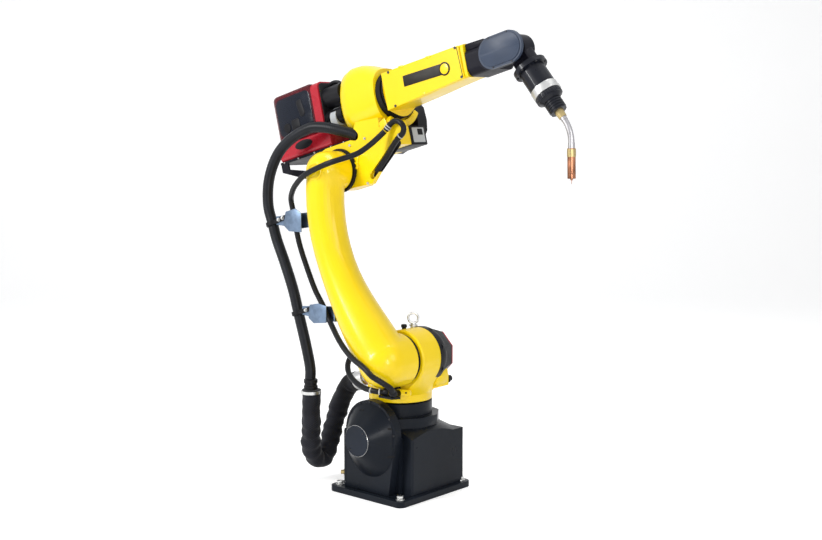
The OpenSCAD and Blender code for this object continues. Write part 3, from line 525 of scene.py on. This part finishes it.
CABLE_UPPER = [(-320.2, -166.3, 896.7), (-330, -168, 939), (-300, -192, 966), (-261, -212, 993),
               (-200, -231, 1026), (-137, -235, 1050), (-84, -230, 1068), (-46, -206, 1082),
               (-23, -172, 1096), (-6, -142, 1118), (12, -120, 1142), (30, -106, 1164)]
ELBOW_CABLE = [(32, -104.5, 1166.7), (47, -98, 1186), (68, -99, 1196), (89, -100, 1192), (102, -98, 1176),
               (97, -97, 1158), (76, -95.5, 1142), (56, -92, 1124), (36, -85, 1106), (14, -79, 1084),
               (-8, -79, 1060), (-28, -79, 1038)]

# Runs that cross a joint, between two bodies: bodies, start and end in metres
ELBOW_HOSE = ("elbow", "lower_arm", (-0.17, -0.091, 1.165), (-0.457, -0.091, 0.878))
ELBOW_SIDE = ("lower_arm", "elbow", (-0.32, -0.166, 0.897), (-0.0115, -0.166, 1.2055))
SHOULDER_SIDE = ("turret", "lower_arm", (0.14, -0.188, 0.363), (-0.1435, -0.188, 0.6465))
# Loop between the lower arm and the turret
SHOULDER_LOOP = ("lower_arm", "turret", (-0.319, -0.15, 0.566), (-0.319, 0.0355, 0.4684))
# Cable loop with both ends on the turret
TURRET_LOOP = ("turret", "lower_arm", (0.108, -0.178, 0.363), (0.015, -0.3084, 0.363))


def sleeve_radius(gone, a):
    """Radius in metres of the cloth sleeve, by length and angle: it creases most where it bends."""
    lumps = 0.0034 * noise.noise(Vector((math.cos(a) * 1.4, math.sin(a) * 1.4, gone * 22)))
    swell = 0.0035 * noise.noise(Vector((0.7, 4.1, gone * 14)))
    depth = 1 if 0.12 < gone < 0.46 else 0.35
    crease = 0.0018 * math.sin(gone * 190 + 2 * math.sin(a)) * depth
    return 0.0312 + swell + crease + lumps


def add_hoses():
    hose("conduit_upper_hose", CONDUIT_UPPER, CONDUIT_R, HOSE, "conduit_upper", blend=ELBOW_HOSE)
    hose("conduit_run_hose", CONDUIT_RUN, CONDUIT_R, HOSE, "conduit_run", body="lower_arm")
    hose("conduit_lower_hose", CONDUIT_LOWER, CONDUIT_R, HOSE, "conduit_lower", blend=SHOULDER_LOOP)
    hose("sleeve_hose", SLEEVE_ROUTE, SLEEVE_R, SLEEVE, "cloth_sleeve", blend=SHOULDER_LOOP,
         step=0.004, sides=36, wrinkle=sleeve_radius)
    hose("shoulder_cable", SHOULDER_CABLE, CABLE_R, CABLE, "shoulder_cables", blend=SHOULDER_SIDE)
    hose("turret_cable", CABLE_LOOP, CABLE_R, CABLE, None, blend=TURRET_LOOP)
    hose("cable_run_cord", CABLE_RUN, CABLE_R, CABLE, "cable_run", body="lower_arm")
    hose("cable_upper_cord", CABLE_UPPER, CABLE_R, CABLE, "cable_upper", blend=ELBOW_SIDE)
    hose("elbow_cable_cord", ELBOW_CABLE, CABLE_R, CABLE, "elbow_cable", body="elbow")


# Small shapes in millimetres, about their own Z axis

def on_circle(r, a):
    return r * math.cos(a), r * math.sin(a)


def turned(profile, sides=32):
    """Solid of revolution from (radius, height) pairs."""
    bm = bmesh.new()
    ways = [2 * math.pi * k / sides for k in range(sides)]
    rings = [[bm.verts.new((*on_circle(r, a), z)) for a in ways] for r, z in profile]
    for low, high in zip(rings, rings[1:]):
        for k in range(sides):
            n = (k + 1) % sides
            bm.faces.new((low[k], low[n], high[n], high[k]))
    bm.faces.new(list(reversed(rings[0])))
    bm.faces.new(rings[-1])
    return bm


def extruded(outline, depth, bevel=0.8):
    """Flat outline raised to a depth, with its sharp edges rounded."""
    bm = bmesh.new()
    low = [bm.verts.new((x, y, 0)) for x, y in outline]
    high = [bm.verts.new((x, y, depth)) for x, y in outline]
    for k in range(len(outline)):
        n = (k + 1) % len(outline)
        bm.faces.new((low[k], low[n], high[n], high[k]))
    bm.faces.new(list(reversed(low)))
    bm.faces.new(high)
    bmesh.ops.recalc_face_normals(bm, faces=bm.faces[:])
    sharp = [e for e in bm.edges if e.calc_face_angle(0) > math.radians(30)]
    bmesh.ops.bevel(bm, geom=sharp, offset=bevel, segments=2, profile=0.5, affect="EDGES")
    return bm


def rounded(x, y, r, steps=5):
    """Outline of a rectangle with round corners."""
    points = []
    for cx, cy, start in ((1, 1, 0), (-1, 1, 90), (-1, -1, 180), (1, -1, 270)):
        for k in range(steps + 1):
            a = math.radians(start + 90 * k / steps)
            points.append((cx * (x / 2 - r) + r * math.cos(a), cy * (y / 2 - r) + r * math.sin(a)))
    return points


def octagon(flat):
    """Outline of an octagon, from the distance of its flats."""
    reach = flat / math.cos(math.pi / 8)
    return [on_circle(reach, math.pi / 8 * (2 * k + 1)) for k in range(8)]


def sector(r0, r1, start, end, steps=16):
    """Outline of part of a ring between two angles."""
    ways = [math.radians(start + (end - start) * k / steps) for k in range(steps + 1)]
    return [on_circle(r1, a) for a in ways] + [on_circle(r0, a) for a in reversed(ways)]


def toothed(r, depth, count):
    """Outline of a knurled ring."""
    return [on_circle(r if k % 4 < 2 else r - depth, math.pi * k / count / 2) for k in range(count * 4)]


def bolt(r, h):
    """Hexagon head on a washer."""
    head = extruded([on_circle(r, math.pi * k / 3) for k in range(6)], 0.8 * h, 0.1 * r)
    head.transform(at(0, 0, 0.2 * h))
    return [turned([(1.3 * r, 0), (1.3 * r, 0.16 * h), (1.24 * r, 0.2 * h)]), head]


def socket(r, h):
    """Round screw head with a socket."""
    return [turned([(r, 0), (r, 0.75 * h), (0.88 * r, h), (0.5 * r, h), (0.46 * r, 0.35 * h)], 20)]


def collar(r, width, rise=1.2):
    """Band that wraps a round part, centred on its middle."""
    sunk, edge, half = r - 0.5, 0.6, width / 2
    return turned([(sunk, -half), (r + rise, -half + edge), (r + rise, half - edge), (sunk, half)])


def add_parts(name, parts, material, body):
    """One piece from shapes in millimetres, each with its place."""
    whole = bmesh.new()
    for shape, place in parts:
        shape.transform(Matrix.Scale(1 / MM_PER_M, 4) @ place)
        part = bpy.data.meshes.new("part")
        shape.to_mesh(part)
        shape.free()
        whole.from_mesh(part)
        bpy.data.meshes.remove(part)
    mesh = bpy.data.meshes.new(name)
    whole.to_mesh(mesh)
    whole.free()
    return add_piece(name, mesh, material, body)


def add_part(name, shape, place, material, body):
    return add_parts(name, [(shape, place)], material, body)


def add_heads(name, make, r, h, places, material, body):
    """One piece from equal screw or bolt heads of a radius and height."""
    add_parts(name, [(shape, place) for place in places for shape in make(r, h)], material, body)


# Details of each body

def detail_base():
    plate_top, arch_z, rim_r, rim_y = 20, 209, 102.5, -145
    disc_y, disc_z, screw_r = -207, 196, 41
    corners = [at(x, y, plate_top) for x in (-132, 132) for y in (-149, 149)]
    add_heads("anchor_bolts", bolt, 11, 13, corners, STEEL, "base")
    rim = [on_circle(rim_r, math.radians(d)) for d in (5, 35, 65, 90, 115, 145, 175)]
    add_heads("cover_screws", socket, 3.4, 3, [at(x, rim_y, arch_z + z) @ NEAR for x, z in rim], HUB, "base")
    disc = at(0, disc_y, disc_z) @ NEAR
    dish = [(49.6, 0), (49.6, 1.4), (48.6, 2.2), (46.5, 2.2), (46, 1.6)]
    add_part("cover_disc", turned(dish, 56), disc, DISC, "base")
    add_part("disc_edge", turned([(50, 0), (50.4, 0.5), (50, 1)], 56), disc, STEEL, "base")
    screws = [at(screw_r * s, disc_y - 1.6, disc_z + screw_r * s) @ NEAR for s in (0.7, -0.7)]
    add_heads("disc_screws", socket, 2.6, 2, screws, HUB, "base")
    # Dark marks on the cone at its notches: painted shade of the notches' hollows
    pockets = [
        (22, 7, facing((92.1, -147.1, 238.9), (0.72, -0.65, 0.24), (1, 1, 0))),
        (22, 7, facing((93.5, -148.9, 149.9), (0.74, -0.66, -0.15), (1, 1, 0))),
        (8, 6, facing((-11.3, -165.2, 287), (-0.14, -0.71, 0.7))),
        (8, 6, facing((-24, -165.2, 285.5), (-0.16, -0.71, 0.7))),
    ]
    add_parts("cover_pocket_shade", [(extruded(rounded(x, y, 2.6), 0.9, 0.3), place) for x, y, place in pockets],
              RUBBER_AND_SHADE, "base")
    stud = facing((-128, -131.5, 58), (-0.747, -0.664, 0), (0, 0, 1))
    add_heads("earth_stud", bolt, 7.5, 12, [stud], BRASS, "base")
    rear = at(-140, 0, 110) @ turn(90, "X") @ BACK
    add_part("rear_panel", extruded(rounded(190, 120, 8), 4), rear, GREY, "base")


def detail_turret():
    plug = turned([(7, 0), (7, 5), (9.5, 6), (9.5, 13), (7.5, 15.5)], 20)
    add_part("vent_plug", plug, at(51, -40, 538), PLASTIC, "turret")
    boss = facing((90, -86, 345), (0.42, -0.9, 0.1), (0.9, 0.42, 0))
    add_part("turret_boss", extruded(rounded(46, 20, 4), 18, 1.5), boss @ at(0, 0, -12), YELLOW, "turret")
    # Thin dark discs on the boss's face: painted shade of its two holes
    holes = [(turned([(3.2, 5.8), (3.2, 6.3)], 16), boss @ at(x, 0, 0)) for x in (-12, 10)]
    add_parts("boss_hole_shade", holes, RUBBER_AND_SHADE, "turret")
    block = (extruded(rounded(26, 22, 4), 8), at(117, 90, 366) @ FAR)
    knob = (turned([(9, 0), (9, 8), (10, 9), (10, 13), (7, 16)], 20), at(117, 98, 366) @ FAR)
    add_parts("motor_plug", [block, knob], PLASTIC, "turret")
    screws = [SHOULDER_M @ at(x, 102, z) @ FAR for x in (-36, 36) for z in (-36, 36)]
    add_heads("motor_screws", socket, 4.5, 4, screws, HUB, "turret")
    shroud = [(60, 6), (93, 6), (93, 20), (91.7, 32), (84, 45), (79, 52), (73.8, 58), (64, 68), (58.4, 74)]
    add_part("motor_shroud", turned(shroud, 72), SHOULDER_M @ FAR, PLASTIC, "turret")
    fairing = [(40, 346), (124, 350), (138, 364), (142, 388), (138, 412), (110, 426), (40, 426)]
    add_part("motor_fairing", extruded(fairing, 56, 9), at(0, 77, 0) @ NEAR, YELLOW, "turret")
    shell = turned([(97, 20), (75.8, 86)], 8)
    add_part("motor_shell", shell, SHOULDER_M @ FAR @ turn(22.5, "Z"), PLASTIC, "turret")
    add_part("motor_rim", extruded(octagon(70), 5, 1.2), SHOULDER_M @ at(0, 86, 0) @ FAR, RED, "turret")
    ring = turned([(26, 0), (28.5, 1), (28.5, 8), (26.5, 9)])
    add_part("gland_collar", ring, GLAND_M @ at(0, 0, 4), RED, "turret")
    gland, across = [(13, 0), (13, 9), (11, 12), (10, 14)], (0, 1, 0.3)
    starts = [((140, -188, 362.9), (7, -20, 21)), ((108, -178, 362.9), (-20, -16, 1))]
    glands = [(turned(gland, 12), facing(p, d, across)) for p, d in starts]
    add_parts("cable_glands", glands, PLASTIC, "turret")
    holds = [((88, -194, 364), (-24, -12, 1)), ((60, -202, 366), (-33, -3, 3))]
    ties = [(collar(CABLE_R, 5), facing(p, d, across)) for p, d in holds]
    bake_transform(add_parts("loop_ties", ties, TIE, None))


def detail_arm():
    cap = facing((-171, -216, 1038), (0.12, -0.99, 0.02))
    lid = turned([(27, -6), (27, 0), (25, 2), (22, 2), (20.5, 0.5)], 40)
    add_part("elbow_cap", lid, cap, YELLOW, "lower_arm")
    heads = [at(x, -162, z) @ NEAR for x, z in ((-398, 872), (-379, 879), (-271.5, 581.5), (-243, 591))]
    add_heads("clip_bolts", bolt, 5, 6, heads, STEEL, "lower_arm")
    upper = [(-356, 856), (-346, 902), (-300, 914), (-272, 900), (-272, 838), (-330, 838)]
    lower = [(-242, 560), (-236, 604), (-196, 612), (-160, 606), (-160, 552), (-218, 545)]
    cheeks = [(extruded(line, 3, 1), at(0, -176.4, 0) @ NEAR) for line in (upper, lower)]
    add_parts("clip_cheeks", cheeks, CLIP, "lower_arm")
    band = add_part("sleeve_band", collar(SLEEVE_R, 11, 2), at(-263, -150, 308), STEEL, None)
    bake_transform(band)
    low, high = (Vector(p) * MM_PER_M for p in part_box("hose_coupling"))
    r, half = (high.x - low.x) / 2, (high.z - low.z) / 2
    waist = [(r, -0.3 * half), (0.9 * r, -0.2 * half), (0.9 * r, 0.2 * half), (r, 0.3 * half)]
    profile = [(0.84 * r, -half), (r, 2 - half)] + waist + [(r, half - 2), (0.84 * r, half)]
    middle = Matrix.Translation((low + high) / 2)
    coupling = add_part("coupling_ring", turned(profile), middle, PLASTIC, None)
    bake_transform(coupling)
    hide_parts("hose_coupling")


def detail_elbow():
    lug_y = -86
    boss = at(-111.6, lug_y, 1054.5) @ NEAR
    button = turned([(12, 0), (12, 4), (10.5, 5.5), (5, 5.5), (4.5, 2)], 28)
    rib = extruded(rounded(9, 34, 4), 3)
    add_parts("lug_boss", [(button, boss), (rib, boss @ at(6, 20, 0) @ turn(-14, "Z"))], YELLOW, "elbow")
    heads = [at(x, lug_y, z) @ NEAR for x, z in ((-139.6, 1119), (-73.2, 1141.2), (-60, 1000))]
    add_heads("lug_screws", socket, 4.5, 4, heads, STEEL, "elbow")
    tab = ELBOW_M @ at(222, lug_y, 92) @ NEAR @ turn(20, "Z")
    add_part("cable_tab", extruded(rounded(30, 40, 4), 5), tab, YELLOW, "elbow")
    lip = extruded(sector(84, 106, -34, 56), 24, 2)
    add_part("roll_collar", lip, FOREARM_M @ at(197, 0, 0) @ FRONT, YELLOW, "elbow")
    ring = turned([(70, 86.4), (71, 87.4), (71, 95.4), (70, 96.4)], 56)
    add_part("elbow_ring", ring, Matrix.Translation(ELBOW) @ NEAR, RUBBER_AND_SHADE, "elbow")
    # Dark plate inside the slot: painted shade of the deep hole there
    slot = ELBOW_M @ at(192, -69, -8) @ NEAR @ turn(33, "Z")
    add_part("slot_shade_floor", extruded(rounded(160, 21.6, 10.7), 1.2, 0.3), slot, RUBBER_AND_SHADE, "elbow")
    box_front = 233.6
    outline = [(128, 28.4), (box_front, 28.4), (box_front, 89.6), (128, 89.6)]
    add_part("box_shell", extruded(outline, 78, 2.2), ELBOW_M @ at(0, 89.6, 0) @ NEAR, PLASTIC, "elbow")
    panel = ELBOW_M @ at(box_front, 52, 60) @ FRONT
    add_part("box_panel", extruded(rounded(48, 56, 3), 1.6), panel, PALE, "elbow")
    add_part("box_window", extruded(rounded(20, 24, 2), 0.8, 0.3), panel @ at(-10, 8, 1.5), RUBBER_AND_SHADE, "elbow")
    holds = [((37, -102, 1173), (15, 6, 19)), ((42, -100, 1179), (15, 6, 19)),
             ((86.5, -96, 1150), (-21, 1, -16))]
    add_parts("elbow_ties", [(collar(CABLE_R, 4), facing(p, d, (0, 1, 0))) for p, d in holds], TIE, "elbow")


def detail_feeder():
    spool = turned([(14, -52), (62, -52), (62, -46), (24, -45), (24, 45), (62, 46), (62, 52), (14, 52)], 40)
    add_part("wire_spool", spool, ELBOW_M @ at(-214, 0, 232) @ FAR, PALE, "elbow")
    groove = [(17, -12), (19, -10), (19, -3), (16, 0), (19, 3), (19, 10), (17, 12)]
    rolls = [ELBOW_M @ at(u, -24, v) @ FAR for u, v in ((-120, 205), (-120, 246), (-160, 186))]
    add_parts("feed_rolls", [(turned(groove, 28), place) for place in rolls], STEEL, "elbow")
    rim = ELBOW_M @ at(-186, -69.5, 155) @ NEAR
    add_part("hood_rim", extruded(rounded(196, 9, 4), 3), rim, MAROON, "elbow")
    oval = [(42 * math.cos(a), 15 * math.sin(a)) for a in [2 * math.pi * k / 40 for k in range(40)]]
    add_part("case_badge", extruded(oval, 2.2, 0.7), ELBOW_M @ at(-163, -69.8, 128) @ NEAR, PLASTIC, "elbow")
    motor, motor_r = ELBOW_M @ at(-14, -28, 178.6) @ FRONT, 36
    add_part("motor_label", collar(motor_r, 27, 0.5), motor, PALE, "elbow")
    fins = [(collar(motor_r, 3, 2.2), motor @ at(0, 0, z)) for z in (-36, -29, -22)]
    add_parts("motor_fins", fins, PLASTIC, "elbow")
    heads = [ELBOW_M @ at(u, -70, 89) @ NEAR for u in (-270, -200, -120, -40, 20)]
    add_heads("plate_screws", socket, 3, 3, heads, STEEL, "elbow")
    window = ELBOW_M @ at(-180, -69.6, 236) @ NEAR
    add_part("hood_window", extruded(rounded(168, 128, 22), 1.8, 0.8), window, WINDOW, "elbow")
    lever = (extruded(rounded(26, 58, 9), 2.4, 1), window @ at(34, 12, 1.2) @ turn(12, "Z"))
    block = (extruded(rounded(40, 34, 8), 2.2, 1), window @ at(-2, -34, 1.2))
    knob = (turned([(17, 0), (16, 3), (9, 3.6)], 28), window @ at(-44, -38, 1))
    add_parts("hood_clamps", [lever, block, knob], PLASTIC, "elbow")
    panel = ELBOW_M @ at(-54, 0, 234) @ FRONT
    add_part("drive_panel", extruded(rounded(148, 128, 14), 4, 1.5), panel, PLASTIC, "elbow")
    arc = [(-52, -20, 262), (-47, -22, 290), (-32, -22, 301), (-10, -20, 300), (6, -18, 288), (10, -18, 258)]
    path, _ = curve_through([(ELBOW_M @ Vector(q)) / MM_PER_M for q in arc], step=0.004)
    handle = tube_mesh("feeder_handle", path, radius=0.0065, sides=16)
    add_piece("feeder_handle", handle, PLASTIC, "elbow")


def detail_forearm():
    corners = [COVER_M @ at(*q, 0) for q in ((34, 56), (38, -52), (303, 54), (308, -36))]
    add_heads("cover_bolts", socket, 4.2, 2.6, corners, HUB, "forearm")
    lugs = [COVER_M @ at(*q, -0.4) for q in ((87, 59), (198, 57), (155, -45))]
    add_parts("cover_lugs", [(extruded(rounded(20, 7, 3), 2.4), place) for place in lugs], YELLOW, "forearm")
    plate = COVER_M @ at(162.5, 9.3, 0) @ turn(-2, "Z")
    add_part("bare_nameplate", extruded(rounded(151, 34, 2), 1.2, 0.4), plate, NAMEPLATE, "forearm")
    disc = COVER_M @ at(251, 5, 0)
    rim = turned([(20.5, 0), (20.5, 1.6), (19.5, 2), (17.5, 2), (17, 1.4)], 40)
    add_part("disc_rim", rim, disc, NAMEPLATE, "forearm")
    add_part("bare_disc", turned([(16, 1), (15.5, 2.4), (12, 3), (6, 3.3)], 40), disc, YELLOW, "forearm")
    seam = COVER_M @ at(310.5, 9, 0) @ turn(2, "Z")
    add_part("cover_seam", extruded(rounded(2.4, 92, 1.1), 0.6, 0.2), seam, RUBBER_AND_SHADE, "forearm")
    # Dark band on the forearm's yellow flange: painted shade that widens the dark ring at the roll joint
    add_part("flange_shade_band", collar(74, 5.4, 3), FOREARM_M @ at(228.4, 0, 0) @ FRONT, RUBBER_AND_SHADE, "forearm")
    long, wide = 146, 82
    stadium = rounded(long, wide, wide / 2, 14)
    add_part("wrist_plate", extruded(stadium, 2.5, 1.6), WRIST_M, GREY, "forearm")
    screws = [WRIST_M @ at(x, y, 0) for x in (-34, 34) for y in (-43.6, 43.6)]
    add_heads("wrist_screws", socket, 2.6, 2, screws, HUB, "forearm")
    top = [(562, 36), (562, 58), (630, 55), (642, 48), (642, 36)]
    add_part("wrist_top", extruded(top, 104, 5), FOREARM_M @ at(0, 52, 0) @ NEAR, DARK, "forearm")


def detail_torch():
    knurl = extruded(toothed(40.9, 1.4, 36), 13, 0.3)
    add_part("torch_knurl", knurl, TORCH_M @ at(172, 0, 0) @ FRONT, TORCHSKIN, "torch")
    ribs = [(collar(25, 5, 2), TORCH_M @ at(x, 0, 0) @ FRONT) for x in (202, 210, 218, 226)]
    add_parts("cap_ribs", ribs, TORCHSKIN, "torch")
    clasp = TORCH_M @ turn(-62, "X") @ at(158, 0, 41)
    screw = [(shape, clasp @ at(0, 0, 7)) for shape in socket(4, 3)]
    add_parts("band_clasp", [(extruded(rounded(20, 16, 3), 7), clasp)] + screw, STEEL, "torch")
    heads = [TORCH_M @ turn(60 * k + 30, "X") @ at(80, 0, 46.5) @ FRONT for k in range(6)]
    add_heads("flange_screws", socket, 3.6, 3, heads, HUB, "torch")
    add_part("nozzle_sleeve", collar(12, 24, 0.9), NOZZLE_M @ at(13, 0, 0) @ FRONT, BRASS, "torch")
    tip = turned([(4, -4), (4, 2), (2.6, 5), (0.9, 5.4), (0.7, 16)], 20)
    add_part("contact_tip", tip, NOZZLE_M @ at(86, 0, 0) @ FRONT, COPPER, "torch")
    # Dark disc across the nozzle's bore: painted shade of its hollow inside
    add_part("nozzle_mouth_shade", turned([(8.6, 85.8), (8.6, 86.3)], 28), NOZZLE_M @ FRONT, RUBBER_AND_SHADE, "torch")


add_camera()
add_stage(FLOOR)
add_lights()
add_world()
bpy.context.scene.view_settings.view_transform = "Standard"

for material, names in FINISH.items():
    for name in names:
        dress(name, material)
add_hoses()
detail_base()
detail_turret()
detail_arm()
detail_elbow()
detail_feeder()
detail_forearm()
detail_torch()
